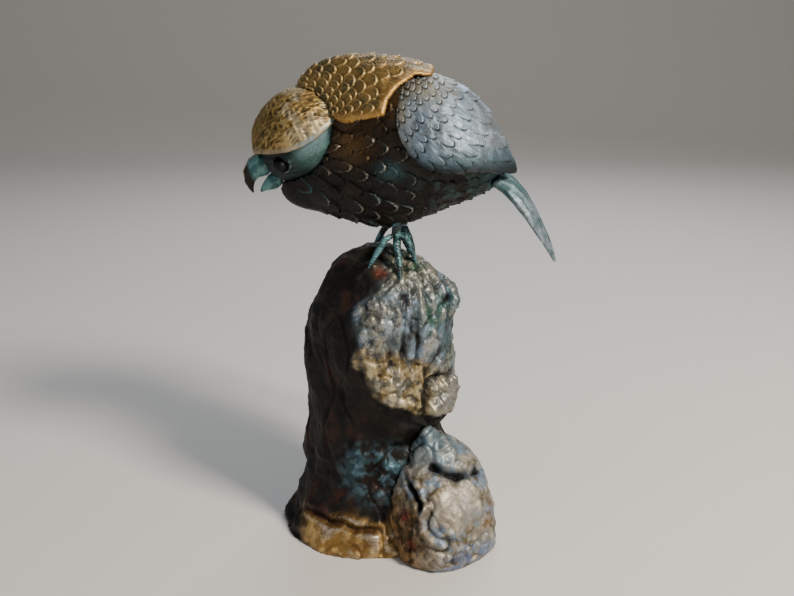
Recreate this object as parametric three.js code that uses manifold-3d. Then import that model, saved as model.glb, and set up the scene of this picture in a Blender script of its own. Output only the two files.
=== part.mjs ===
// A cast bronze bird of prey, head lowered over its breast, standing on a rock with a flared foot.
// Millimetres, +Z up. The bird looks along -X and its left side faces -Y. While it is being built,
// the middle of the rock's top is at height 0; at the end the whole figure is set on the ground.
// Each casting is made on its own, and pins, studs and nuts join them.
import * as THREE from "three";
import { mergeVertices } from "three/addons/utils/BufferGeometryUtils.js";
import Module from "manifold-3d";

const wasm = await Module();
wasm.setup();

// ---- driving dimensions ----
const gap = 0.3; // between two castings that touch
const rockGap = 0.8; // between the rock's two rough castings
const pinFit = 0.15; // round a pin or a stud in its hole
const cutPast = 5; // how far a cutter runs past the face that it opens

// A shell's lists run from its front to its rear at even steps: the height of its middle line above
// the rock's top, and how far it reaches up, down and to each side of that line.
const body = { front: -72, length: 136, wall: 3.5 };
body.rear = body.front + body.length;
body.middle = [36, 50, 58, 55, 44];
body.up = [50, 60, 49, 38, 24];
body.down = [31, 38, 47, 38, 27];
body.side = [17, 25, 36, 36, 22];

const mantle = { front: body.front + 4, rear: body.rear - 14, wall: 2.8 };
mantle.middle = [58, 58, 58, 58, 58];
mantle.up = [76, 61, 54.5, 55, 54];
mantle.down = [30, 30, 30, 30, 30];
mantle.side = [18, 27, 40, 42, 40];

const wing = { length: 76, pastBody: 7, lean: 0.5 }; // lean: how far it tips in for each mm of height
wing.rear = body.rear + wing.pastBody;
wing.front = wing.rear - wing.length;
wing.middle = [83, 76.5, 69, 59, 46];
wing.up = [26, 29, 29, 29, 20];
wing.down = [27, 27, 20, 12, 5];
wing.out = [24, 27, 26, 20, 9]; // from the bird's middle plane to the wing's own middle
wing.bulge = [15, 17, 17, 14, 6];

const head = { x: body.front + 12, z: 66, tilt: 25 }; // tilt of the brow line, in degrees
const skull = { centre: [4, 0, -1], radii: [28.5, 26.5, 24.5], muzzle: 4.5 };
const crown = { lift: 2.6, sag: 7.5, front: -26, rear: 34 };
const eye = { x: -14, z: -11, proud: 0.5, radius: 4.4 };
const beak = { upper: [7, 8.2, 6.2, 3.4, 1.1], lower: [5, 5.2, 3.4, 1.4], narrow: 0.86 };

const tail = { width: [11, 14, 16, 15, 11, 4], thick: [7, 6.6, 5.4, 3.9, 2.5, 1.2], arch: 3.5 };

// The foot's height is over the rock under it, the ankle's and hip's are over the body's underside.
const leg = { x: -1, y: 13, hip: 11.8, ankle: 0.8, foot: 15.5, radius: 3 };
const toe = { radius: 2.3, knuckle: 2, claw: 0.9 };

const rock = { height: 188, x: -12, wall: 6.5, roof: 22, depth: 0.84 }; // depth is front to back over width
const boulder = { x: 27, y: -23, z: 10, radii: [36.5, 50, 54], wall: 6, roof: 40 };
// The boulder's peak runs up a line given from the boulder's middle.
const peak = { radii: [21, 15, 5.5], line: [[-3, -6, 32], [-6.5, -7, 52], [-8.5, -9, 68]] };

const stud = { radius: 1.5, inBody: 6, below: 14 };
const nut = { acrossFlats: 5.5, thick: 2.4 };
const washer = { radius: 4.5, thick: 0.8 };
const wingPin = { radius: 2, length: 12, fromFront: { front: 19, rear: 49 }, drop: 6 };
const tailPin = { radius: 2, length: 14 };
const neckPin = { radius: 3, length: 14 };
const vent = { radius: 4.5, x: 16 }; // the drain hole of the casting core, under the belly

// ---- small tools ----
const rad = THREE.MathUtils.degToRad;
const v3 = (x, y, z) => new THREE.Vector3(x, y, z);

// A smooth value between evenly spaced ones, for a share from 0 to 1.
function between(values, share) {
  const at = THREE.MathUtils.clamp(share, 0, 1) * (values.length - 1);
  const i = Math.min(Math.floor(at), values.length - 2);
  const f = at - i;
  const value = (k) => values[THREE.MathUtils.clamp(i + k, 0, values.length - 1)];
  const [p0, p1, p2, p3] = [-1, 0, 1, 2].map(value);
  return p1 + 0.5 * f * (p2 - p0 + f * (2 * p0 - 5 * p1 + 4 * p2 - p3 + f * (3 * (p1 - p2) + p3 - p0)));
}

const bell = (distance, width) => Math.exp(-((distance / width) ** 2));

function signedVolume(geometry) {
  const p = geometry.attributes.position;
  const corners = [v3(0, 0, 0), v3(0, 0, 0), v3(0, 0, 0)];
  let sum = 0;
  for (let i = 0; i < geometry.index.count; i += 3) {
    corners.forEach((v, k) => v.fromBufferAttribute(p, geometry.index.getX(i + k)));
    sum += corners[0].dot(corners[1].cross(corners[2])) / 6;
  }
  return sum;
}

// One closed surface with shared vertices, no empty triangles, and its faces pointing out.
function closed(geometry) {
  const bare = geometry.clone();
  ["normal", "uv"].forEach((name) => bare.deleteAttribute(name));
  const merged = mergeVertices(bare, 1e-3);
  const kept = [];
  for (let i = 0; i < merged.index.count; i += 3) {
    const corners = [0, 1, 2].map((k) => merged.index.getX(i + k));
    if (new Set(corners).size === 3) kept.push(...corners);
  }
  merged.setIndex(kept);
  if (signedVolume(merged) < 0) merged.setIndex(kept.reverse());
  return merged;
}

// Moves every point of a closed geometry out along its normal, or in when mm is negative.
function offset(geometry, mm) {
  const moved = geometry.clone();
  moved.computeVertexNormals();
  const [p, n] = [moved.attributes.position, moved.attributes.normal];
  for (let i = 0; i < p.count; i++)
    p.setXYZ(i, p.getX(i) + n.getX(i) * mm, p.getY(i) + n.getY(i) * mm, p.getZ(i) + n.getZ(i) * mm);
  moved.deleteAttribute("normal");
  return moved;
}

function solid(geometry, matrix) {
  const g = closed(matrix ? geometry.clone().applyMatrix4(matrix) : geometry);
  const [vertProperties, triVerts] = [g.attributes.position.array, new Uint32Array(g.index.array)];
  return new wasm.Manifold(new wasm.Mesh({ numProp: 3, vertProperties, triVerts }));
}

function geometryOf(made) {
  const { vertProperties, triVerts } = made.getMesh();
  const geometry = new THREE.BufferGeometry();
  geometry.setAttribute("position", new THREE.BufferAttribute(new Float32Array(vertProperties), 3));
  geometry.setIndex(new THREE.BufferAttribute(new Uint32Array(triVerts), 1));
  geometry.computeVertexNormals();
  return geometry;
}

function meshOf(name, made, material) {
  const mesh = new THREE.Mesh(made.isBufferGeometry ? made : geometryOf(made), material);
  mesh.name = name;
  return mesh;
}

// A sphere drawn out along a line. place gets s from -1 to 1 along the line, the size of the ring
// there, and the point's direction on the ring.
function drawnOut(around, along, place) {
  const g = new THREE.SphereGeometry(1, around, along);
  const [p, uv] = [g.attributes.position, g.attributes.uv];
  for (let i = 0; i < p.count; i++) {
    const polar = Math.PI * (1 - uv.getY(i));
    const azimuth = 2 * Math.PI * uv.getX(i);
    const ring = Math.sin(polar) < 1e-9 ? 0 : Math.sin(polar);
    const v = place(-Math.cos(polar), ring, -Math.cos(azimuth), Math.sin(azimuth));
    p.setXYZ(i, v.x, v.y, v.z);
  }
  return closed(g);
}

function shell(part, around, along) {
  const [centre, half] = [(part.front + part.rear) / 2, (part.rear - part.front) / 2];
  return drawnOut(around, along, (s, ring, across, upward) => {
    const share = (s + 1) / 2;
    const reach = between(upward > 0 ? part.up : part.down, share) * ring * upward;
    const wide = between(part.side, share) * ring * across;
    return v3(centre + half * s, wide, between(part.middle, share) + reach);
  });
}

// A limb along a curve, as wide and thick as its lists say, its edges drooping by arch.
function limb(points, width, thick, around, along, arch = 0) {
  const path = new THREE.CatmullRomCurve3(points);
  const side = v3(0, 1, 0);
  return drawnOut(around, along, (s, ring, across, upward) => {
    const share = (s + 1) / 2;
    const tangent = path.getTangentAt(share);
    const lateral = side.clone().addScaledVector(tangent, -side.dot(tangent)).normalize();
    const normal = tangent.clone().cross(lateral);
    const blunt = ring ** 0.6;
    const rise = between(thick, share) * blunt * upward - arch * across * across * blunt;
    const place = path.getPointAt(share).addScaledVector(lateral, between(width, share) * blunt * across);
    return place.addScaledVector(normal, rise);
  });
}

// A block with the given outline in X and Z that reaches well past both sides of the bird.
function sideCut(outline) {
  const reach = 80;
  const shape = new THREE.Shape(outline.map(([x, z]) => new THREE.Vector2(x, z)));
  const g = new THREE.ExtrudeGeometry(shape, { depth: 2 * reach, bevelEnabled: false });
  return solid(g.rotateX(Math.PI / 2).translate(0, reach, 0));
}

function rod(radius, length, way, centre) {
  const turn = new THREE.Quaternion().setFromUnitVectors(v3(0, 1, 0), way.clone().normalize());
  const g = new THREE.CylinderGeometry(radius, radius, length, 12).applyQuaternion(turn);
  return g.translate(centre.x, centre.y, centre.z);
}

const rodHole = (each) => solid(rod(each.radius + pinFit, each.length + 2 * pinFit, each.way, each.centre));

// ---- finishes ----
const bronze = (color, roughness) => new THREE.MeshStandardMaterial({ color, roughness, metalness: 0.9 });
const goldenBronze = bronze(0x8a6f3c, 0.45);
const pewterBronze = bronze(0x6f7c86, 0.4);
const darkBronze = bronze(0x1d1b1a, 0.5);
const greenBronze = bronze(0x3d6b66, 0.5);
const rockBronze = bronze(0x5b5140, 0.5);
const brass = bronze(0xb08d4a, 0.35);

// ---- the head, in a frame of its own that tilts with the brow ----
const figure = new THREE.Group();
const headFrame = new THREE.Group();
headFrame.position.set(head.x, 0, head.z);
headFrame.rotation.y = -rad(head.tilt);
headFrame.updateMatrix();
const headToBird = headFrame.matrix;
const birdToHead = headToBird.clone().invert();

// An egg drawn forward into a short muzzle.
function skullShape() {
  const toMuzzle = v3(-0.78, 0, -0.62).normalize();
  return drawnOut(24, 16, (s, ring, across, upward) => {
    const out = v3(s, ring * across, ring * upward);
    const swell = skull.muzzle * bell(out.angleTo(toMuzzle), 0.5);
    const radii = v3(...skull.radii).addScalar(swell);
    return out.multiply(radii).add(v3(...skull.centre));
  });
}

// Half a beak grows from the skull's front.
function beakShape(sizes, curve) {
  const front = skull.centre[0] - skull.radii[0];
  const ridge = curve.map(([x, z]) => v3(front + x, 0, z));
  return limb(ridge, sizes.map((size) => size * beak.narrow), sizes, 12, 9);
}

const upperBeakShape = () =>
  beakShape(beak.upper, [[5.5, -8], [-3.5, -6.5], [-10.5, -8.5], [-14.3, -13.5], [-15.3, -20.5]]);
const lowerBeakShape = () => beakShape(beak.lower, [[5.5, -17.5], [-1.5, -19], [-7.5, -20], [-11, -21.5]]);

// An eye stands a little proud of the skull's side.
function eyeShape(side) {
  const forward = (eye.x - skull.centre[0]) / skull.radii[0];
  const upward = (eye.z - skull.centre[2]) / skull.radii[2];
  const out = skull.radii[1] * Math.sqrt(1 - forward ** 2 - upward ** 2) + eye.proud;
  return closed(new THREE.IcosahedronGeometry(eye.radius, 1).translate(eye.x, side * out, eye.z));
}

// All that lies above the brow line, which sags between the crown's front and rear, lowered by a gap.
function aboveBrow(lower = 0) {
  const beyond = 13;
  const line = [];
  for (let i = 0; i <= 10; i++) {
    const x = crown.front - beyond + ((crown.rear - crown.front + 2 * beyond) * i) / 10;
    const share = THREE.MathUtils.clamp((x - crown.front) / (crown.rear - crown.front), 0, 1);
    line.push([x, 2 - lower - crown.sag * Math.sin(Math.PI * share)]);
  }
  return sideCut([...line, [crown.rear + beyond, 60], [crown.front - beyond, 60]]);
}

const left = -1;
const right = 1;
const sides = { left, right };

// The neck pin stands on the skull's rear, half in the skull and half in the body.
const neckWay = v3(1, 0, -0.35).normalize();
neckPin.way = neckWay.clone().transformDirection(headToBird);
neckPin.centre = neckWay
  .clone()
  .multiplyScalar(skull.radii[0])
  .add(v3(...skull.centre))
  .applyMatrix4(headToBird);

const skullGeometry = skullShape();
const crownSolid = solid(offset(skullGeometry, crown.lift + gap))
  .subtract(solid(offset(skullGeometry, gap)))
  .subtract(solid(offset(upperBeakShape(), gap)))
  .intersect(aboveBrow());
const lowerBeak = solid(lowerBeakShape()).subtract(solid(offset(upperBeakShape(), gap)));
const neckHole = rod(neckPin.radius + pinFit, neckPin.length + 2 * pinFit, neckPin.way, neckPin.centre);
const face = [upperBeakShape(), lowerBeakShape(), eyeShape(left), eyeShape(right)].reduce(
  (made, seated) => made.subtract(solid(offset(seated, gap))),
  solid(skullGeometry).subtract(solid(neckHole, birdToHead)),
);

headFrame.add(
  meshOf("face", face, greenBronze),
  meshOf("crown", crownSolid, goldenBronze),
  meshOf("upper_beak", upperBeakShape(), greenBronze),
  meshOf("lower_beak", lowerBeak, greenBronze),
  meshOf("left_eye", eyeShape(left), darkBronze),
  meshOf("right_eye", eyeShape(right), darkBronze),
);
figure.add(headFrame);

// ---- the body's shell, and where its surface is ----
const bodyGeometry = shell(body, 28, 18);
const bodyClear = solid(offset(bodyGeometry, gap));

function bodyRing(x) {
  const share = (x - body.front) / body.length;
  const ring = Math.sqrt(Math.max(1 - (2 * share - 1) ** 2, 0));
  return { ring, middle: between(body.middle, share), share };
}

// Half the body's width at a place along it and a height.
function bodyHalfWidth(x, z) {
  const { ring, middle, share } = bodyRing(x);
  const reach = between(z > middle ? body.up : body.down, share) * ring;
  return between(body.side, share) * ring * Math.sqrt(Math.max(1 - ((z - middle) / reach) ** 2, 0));
}

// The height of the body's underside at a place along it and beside its middle plane.
function bodyUnderside(x, y) {
  const { ring, middle, share } = bodyRing(x);
  const reach = between(body.side, share) * ring;
  return middle - between(body.down, share) * ring * Math.sqrt(1 - (y / reach) ** 2);
}

// ---- the mantle: a cape from the crown to the wings ----
// Its outline runs along the nape, over the hollow of the shoulder, up the wing's front and over its top.
function mantleRegion() {
  const from = (start, points) => points.map(([x, z]) => [start + x, z]);
  const nape = from(head.x, [[-12, head.z + 66], [0, head.z + 26], [16, head.z + 18], [26, head.z + 12]]);
  const span = wing.front - nape.at(-1)[0];
  const hollow = from(wing.front, [[-0.8 * span, 77.5], [-0.45 * span, 79], [-0.1 * span, 81.5]]);
  const back = from(wing.front, [[-1, 89], [5, 96], [15, 102], [24, 101], [27.5, 109], [26, 132]]);
  return sideCut([...nape, ...hollow, ...back]);
}

const skullClear = solid(offset(skullGeometry, gap), headToBird);
const headClear = solid(offset(skullGeometry, crown.lift + 2 * gap))
  .intersect(aboveBrow(gap))
  .transform(headToBird.elements)
  .add(skullClear);
const mantleSolid = solid(shell(mantle, 28, 20))
  .subtract(solid(offset(shell(mantle, 20, 14), -mantle.wall)))
  .subtract(headClear)
  .subtract(bodyClear)
  .intersect(mantleRegion());
const mantleClear = solid(offset(shell(mantle, 28, 20), gap))
  .intersect(mantleRegion().translate(gap, 0, -gap));

// ---- the wings, folded along the back ----
function wingShape(side) {
  const [centre, half] = [(wing.front + wing.rear) / 2, wing.length / 2];
  return drawnOut(24, 16, (s, ring, across, upward) => {
    const share = (s + 1) / 2;
    const rise = between(upward > 0 ? wing.up : wing.down, share) * ring * upward;
    const out = between(wing.out, share) - wing.lean * rise + between(wing.bulge, share) * ring * across;
    return v3(centre + half * s, side * out, between(wing.middle, share) + rise);
  });
}

// Two pins for each wing, set square in the body's surface.
function wingPinsOf(sideName) {
  return Object.entries(wingPin.fromFront).map(([end, distance]) => {
    const x = wing.front + distance;
    const z = between(wing.middle, distance / wing.length) - wingPin.drop;
    const centre = v3(x, sides[sideName] * bodyHalfWidth(x, z), z);
    return { ...wingPin, name: `${sideName}_wing_${end}_pin`, way: v3(0, 1, 0), centre };
  });
}

const wingPins = Object.keys(sides).flatMap(wingPinsOf);
for (const [name, side] of Object.entries(sides)) {
  const uncut = solid(wingShape(side)).subtract(bodyClear).subtract(mantleClear);
  const made = wingPinsOf(name).reduce((whole, each) => whole.subtract(rodHole(each)), uncut);
  figure.add(meshOf(`${name}_wing`, made, pewterBronze));
}

// ---- the tail ----
function tailShape() {
  const curve = [[-14, 43], [0, 39], [12, 27.5], [22, 12.5], [30, -0.5], [35.5, -12.5]];
  return limb(curve.map(([x, z]) => v3(body.rear + x, 0, z)), tail.width, tail.thick, 14, 12, tail.arch);
}

tailPin.way = v3(1, 0, -0.28);
tailPin.centre = v3(body.rear - 6, 0, body.middle.at(-1) - 2.5);
const tailSolid = [left, right].reduce(
  (made, side) => made.subtract(solid(offset(wingShape(side), gap))),
  solid(tailShape()).subtract(bodyClear).subtract(rodHole(tailPin)),
);

// ---- the rock's outside: a tall column ----
// Heights are above the ground for the foot, and below the rock's top for the shoulders.
const h = rock.height;
const rockOutline = [
  [65, 0], [64, 5], [58, 9], [54, 20], [50, 36], [47, 58], [46.5, 80], [47, h - 78], [46.5, h - 50],
  [44.5, h - 34], [37, h - 21], [27, h - 12], [16, h - 6], [7, h - 1.5], [0, h],
];
const lumps = [
  { azimuth: -28, height: 64, reach: -12, wide: 50, tall: 8 }, // the undercut over the boulder
  { azimuth: -20, height: 84, reach: 3.5, wide: 22, tall: 9 },
  { azimuth: -52, height: 88, reach: 4.5, wide: 16, tall: 9 },
  { azimuth: -100, height: h - 53, reach: 5, wide: 20, tall: 42 }, // a corner at the front
  { azimuth: -140, height: h - 68, reach: -3.5, wide: 24, tall: 50 },
  { azimuth: -10, height: h - 32, reach: 4, wide: 20, tall: 9 },
  { azimuth: -70, height: h - 20, reach: 4, wide: 26, tall: 8 },
  { azimuth: 60, height: h - 68, reach: 4, wide: 30, tall: 30 },
  { azimuth: 120, height: 70, reach: 5, wide: 30, tall: 22 },
  { azimuth: 180, height: h - 30, reach: -5, wide: 60, tall: 13 },
  { azimuth: 0, height: h - 30, reach: 3, wide: 50, tall: 9 },
  { azimuth: -100, height: 0, reach: 7, wide: 45, tall: 24 }, // the foot spreads to the front
  { azimuth: 0, height: 0, reach: -8, wide: 50, tall: 30 },
  { azimuth: 90, height: 0, reach: -6, wide: 50, tall: 30 },
];
const turnBetween = (a, b) => ((((a - b) % 360) + 540) % 360) - 180;

const rockSwell = (azimuth, height) =>
  lumps.reduce((sum, l) => {
    const near = bell(turnBetween(azimuth, l.azimuth), l.wide) * bell(height - l.height, l.tall);
    return sum + l.reach * near;
  }, 0);

function rockRough(azimuth, height) {
  const [a, down] = [rad(azimuth), h - height];
  const [coarse, middling] = [Math.sin(5 * a - down / 11 + 4.5), Math.sin(9 * a + down / 7 - 1.7)];
  return 1.1 * coarse + 0.9 * middling + 0.6 * Math.sin(14 * a - down / 5);
}

// A turned shape round the column's middle line, pushed in and out by reach, its top at height 0.
function rockLathe(points, around, reach) {
  const fullFrom = 30; // nearer the middle line than this, the push fades out
  const outline = points.map(([r, z]) => new THREE.Vector2(r, z));
  const g = new THREE.LatheGeometry(outline, around).rotateX(Math.PI / 2);
  const p = g.attributes.position;
  for (let i = 0; i < p.count; i++) {
    const [x, y, z] = [p.getX(i), p.getY(i), p.getZ(i)];
    const r = Math.hypot(x, y);
    const azimuth = Math.round(THREE.MathUtils.radToDeg(Math.atan2(y, x)) * 1e4) / 1e4;
    const k = r < 1e-6 ? 0 : (r + reach(azimuth, z) * Math.min(r / fullFrom, 1)) / r;
    p.setXYZ(i, rock.x + x * k, y * k * rock.depth, z - rock.height);
  }
  return closed(g);
}

// The rock's outside. A cutter is grown, and reaches below the ground.
function rockShape(grow) {
  const curve = new THREE.SplineCurve(rockOutline.map(([r, z]) => new THREE.Vector2(r, z)));
  const side = curve.getSpacedPoints(25).map((p) => [Math.max(p.x, 0), Math.max(p.y, 0)]);
  side[0] = rockOutline[0];
  side[side.length - 1] = [0, h];
  const foot = grow ? [[0, -cutPast], [rockOutline[0][0], -cutPast]] : [[0, 0]];
  const bulge = (azimuth, z) => rockSwell(azimuth, z) + rockRough(azimuth, z) + grow;
  return rockLathe([...foot, ...side], 34, bulge);
}

// The height of the rock's surface at a place on its top.
const rockMesh = new THREE.Mesh(rockShape(0));
function groundAt(x, y) {
  const down = new THREE.Raycaster(v3(x, y, 50), v3(0, 0, -1));
  return down.intersectObject(rockMesh)[0].point.z;
}

// ---- the legs: a tarsus, two toes forward over the rock's brow and two back ----
// Each toe leaves the foot, bends at its knuckle and ends in a claw. They are placed from the foot:
// rearwards, inwards, and in height over the rock there.
const toeSteps = {
  inner: { start: [-5, -3], knuckle: [-12, -7, 5.2], claw: [-17, -11, 0.5] },
  outer: { start: [0.5, -6], knuckle: [2, -12, 7.5], claw: [3.5, -17, 0.8] },
  hindInner: { start: [4, 4], knuckle: [8, 8, 5.5], claw: [9, 10, 0.5] },
  hindOuter: { start: [5.5, 0], knuckle: [10.5, 0.5, 7], claw: [13, 1, 0.8] },
};

function toePoints(foot, side, { start, knuckle, claw }) {
  const beside = ([x, y]) => v3(foot.x + x, foot.y - side * y, foot.z - 1);
  const onRock = (step) => beside(step).setZ(groundAt(beside(step).x, beside(step).y) + step[2]);
  return [foot, beside(start), onRock(knuckle), onRock(claw)];
}

// Each limb's ends are blunt, so the tarsus starts inside the body and ends inside the foot.
function legShape(side, grow) {
  const foot = v3(leg.x, side * leg.y, groundAt(leg.x, side * leg.y) + leg.foot);
  const underside = bodyUnderside(leg.x, leg.y);
  const knee = foot.clone().setZ(underside + leg.ankle).setX(leg.x + 1);
  const hip = foot.clone().setZ(underside + leg.hip).setX(leg.x + 1.5);
  const sole = foot.clone().setZ(foot.z - 3);
  const across = [leg.radius, leg.radius - 0.4, leg.radius + 0.8];
  const tarsus = solid(offset(limb([hip, knee, sole], across, across, 10, 6), grow));
  const size = [toe.radius, toe.radius, toe.knuckle, toe.claw];
  return Object.values(toeSteps).reduce((whole, steps) => {
    const points = toePoints(foot, side, steps);
    return whole.add(solid(offset(limb(points, size, size, 8, 6), grow)));
  }, tarsus);
}

const roofZ = -rock.roof; // the flat ceiling of the rock's hollow
const studs = Object.entries(sides).map(([name, side]) => {
  const top = bodyUnderside(leg.x, leg.y) + stud.inBody;
  const bottom = roofZ - stud.below;
  const centre = v3(leg.x, side * leg.y, (top + bottom) / 2);
  return { name, side, radius: stud.radius, length: top - bottom, way: v3(0, 0, 1), centre };
});
for (const each of studs) {
  const made = legShape(each.side, 0).subtract(bodyClear).subtract(rodHole(each));
  figure.add(meshOf(`${each.name}_leg`, made, greenBronze));
}

// The hollow leaves a cup round the head, and drains through a vent under the belly.
const coreVent = rod(vent.radius, 40, v3(0, 0, 1), v3(vent.x, 0, bodyUnderside(vent.x, 0)));
const bodyHollow = solid(offset(shell(body, 16, 10), -body.wall))
  .subtract(solid(offset(skullGeometry, crown.lift + body.wall), headToBird));
const bodySolid = [tailPin, neckPin, ...wingPins, ...studs].reduce(
  (made, each) => made.subtract(rodHole(each)),
  solid(bodyGeometry)
    .subtract(bodyHollow)
    .subtract(headClear)
    .subtract(solid(offset(lowerBeakShape(), gap), headToBird))
    .subtract(solid(coreVent)),
);
figure.add(
  meshOf("body_shell", bodySolid, darkBronze),
  meshOf("mantle", mantleSolid, goldenBronze),
  meshOf("tail", tailSolid, pewterBronze),
);

// ---- the rock's castings, both open below ----
// The hollow follows the outside without its roughness, up to a flat ceiling for the nuts.
function rockHollow() {
  const curve = new THREE.SplineCurve(rockOutline.map(([r, z]) => new THREE.Vector2(r, z)));
  const ceiling = h - rock.roof;
  const inside = curve
    .getSpacedPoints(25)
    .filter((p) => p.y > 2 && p.y < ceiling - 4)
    .map((p) => [p.x - rock.wall, p.y]);
  const mouth = rockOutline[2][0] - rock.wall;
  const rim = inside.at(-1)[0];
  const points = [[0, -cutPast], [mouth, -cutPast], [mouth, 0], ...inside, [rim - 6, ceiling], [0, ceiling]];
  return rockLathe(points, 20, rockSwell);
}

const boulderMiddle = v3(boulder.x, boulder.y, boulder.z - rock.height);

// The peak of the boulder, under the column's overhang.
function peakShape() {
  const points = peak.line.map((at) => v3(...at).add(boulderMiddle));
  return limb(points, peak.radii, peak.radii, 14, 7);
}

function boulderShape(grow) {
  return drawnOut(22, 16, (s, ring, across, upward) => {
    const [y, z] = [ring * across, ring * upward];
    const rough = 1 + 0.03 * Math.sin(5 * y + 4 * s) + 0.025 * Math.sin(7 * z - 5 * s);
    const radii = v3(...boulder.radii).addScalar(grow);
    return v3(s, y, z).multiply(radii).multiplyScalar(rough).add(boulderMiddle);
  });
}

const slab = (from, to) =>
  solid(new THREE.BoxGeometry(400, 400, to - from).translate(0, 0, (from + to) / 2 - rock.height));

const columnSolid = studs.reduce(
  (made, each) => made.subtract(legShape(each.side, gap)).subtract(rodHole(each)),
  solid(rockShape(0)).subtract(solid(rockHollow())),
);
const boulderHollow = solid(boulderShape(-boulder.wall))
  .intersect(slab(-200, boulder.roof))
  .subtract(solid(rockShape(boulder.wall)));
const boulderSolid = solid(boulderShape(0))
  .add(solid(peakShape()))
  .intersect(slab(0, 200))
  .subtract(solid(rockShape(rockGap)))
  .subtract(boulderHollow);
figure.add(meshOf("rock_column", columnSolid, rockBronze), meshOf("rock_boulder", boulderSolid, rockBronze));

// ---- pins, studs, washers and nuts ----
const rodMesh = (name, each) => meshOf(name, rod(each.radius, each.length, each.way, each.centre), brass);
figure.add(rodMesh("neck_pin", neckPin), rodMesh("tail_pin", tailPin));
wingPins.forEach((each) => figure.add(rodMesh(each.name, each)));

// A flat ring round a stud, with as many sides as asked.
function ring(radius, thick, count) {
  const corners = Array.from({ length: count }, (_, i) => {
    const a = (2 * Math.PI * (i + 0.5)) / count;
    return new THREE.Vector2(radius * Math.cos(a), radius * Math.sin(a));
  });
  const shape = new THREE.Shape(corners);
  shape.holes.push(new THREE.Path().absarc(0, 0, stud.radius + pinFit, 0, 2 * Math.PI, true));
  return new THREE.ExtrudeGeometry(shape, { depth: thick, bevelEnabled: false, curveSegments: 12 });
}

for (const each of studs) {
  const disc = meshOf(`${each.name}_foot_washer`, ring(washer.radius, washer.thick, 16), brass);
  disc.position.set(leg.x, each.centre.y, roofZ - gap - washer.thick);
  const hex = meshOf(`${each.name}_foot_nut`, ring(nut.acrossFlats / Math.sqrt(3), nut.thick, 6), brass);
  hex.position.set(leg.x, each.centre.y, disc.position.z - gap - nut.thick);
  figure.add(rodMesh(`${each.name}_foot_stud`, each), disc, hex);
}

// ---- the figure's own frame: the middle of its box, on the ground ----
figure.updateMatrixWorld(true);
const box = new THREE.Box3().setFromObject(figure, true);
figure.position.set(-(box.min.x + box.max.x) / 2, -(box.min.y + box.max.y) / 2, rock.height);

export default figure;
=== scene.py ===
"""The looks of a cast bronze bird on a rock: every casting is remodelled finely over its plain solid."""
import math

import bmesh
import bpy
import numpy as np
from mathutils import Matrix, Vector


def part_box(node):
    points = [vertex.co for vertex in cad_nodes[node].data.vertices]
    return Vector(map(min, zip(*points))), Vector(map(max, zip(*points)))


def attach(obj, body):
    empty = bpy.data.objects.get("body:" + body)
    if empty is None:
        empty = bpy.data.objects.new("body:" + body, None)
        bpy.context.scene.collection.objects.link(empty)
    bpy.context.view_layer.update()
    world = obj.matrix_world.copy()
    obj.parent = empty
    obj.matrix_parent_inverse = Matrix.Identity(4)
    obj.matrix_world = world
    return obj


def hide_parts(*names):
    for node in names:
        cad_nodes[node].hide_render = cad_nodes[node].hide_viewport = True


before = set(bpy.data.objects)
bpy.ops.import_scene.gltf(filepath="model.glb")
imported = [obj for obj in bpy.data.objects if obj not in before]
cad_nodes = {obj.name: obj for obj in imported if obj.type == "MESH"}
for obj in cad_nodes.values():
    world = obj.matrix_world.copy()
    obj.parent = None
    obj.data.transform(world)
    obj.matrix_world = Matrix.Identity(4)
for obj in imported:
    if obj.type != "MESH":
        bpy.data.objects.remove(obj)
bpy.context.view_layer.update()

MM = 0.001

# The perch is where every place below is measured from: on the rock's top, in the bird's middle plane, and
# this far behind the breast's foremost point. The bird looks along -x, and its left side is along -y.
BREAST_REACH = 71.7  # in mm
body_low, body_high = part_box("body_shell")
rock_low, rock_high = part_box("rock_column")
PERCH = Vector((body_low.x + BREAST_REACH * MM, (body_low.y + body_high.y) / 2, rock_high.z))
ROCK_X = -12.0  # the rock's middle, from the perch, in mm
BODY_AXIS = 58.0  # the height of the body's middle line above the perch
HEAD = np.array([-60.0, 0.0, 66.0])  # the skull's middle, from the perch
HEAD_TILT = math.radians(25)
ROCK_HEIGHT = (rock_high.z - rock_low.z) / MM
SKEW = np.array(Matrix.Rotation(0.7, 3, "X") @ Matrix.Rotation(0.5, 3, "Y") @ Matrix.Rotation(0.9, 3, "Z"))


# ---- camera, floor and light ----
def build_camera():
    camera = bpy.data.objects.new("camera", bpy.data.cameras.new("camera"))
    bpy.context.scene.collection.objects.link(camera)
    camera.data.lens = 40.8
    camera.data.sensor_width = 36
    looks_down = 17.05  # degrees from level
    camera.location = PERCH + Vector((0, -0.544, 0.1307))
    camera.rotation_euler = (math.radians(90 - looks_down), 0, 0)
    bpy.context.scene.camera = camera


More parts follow.
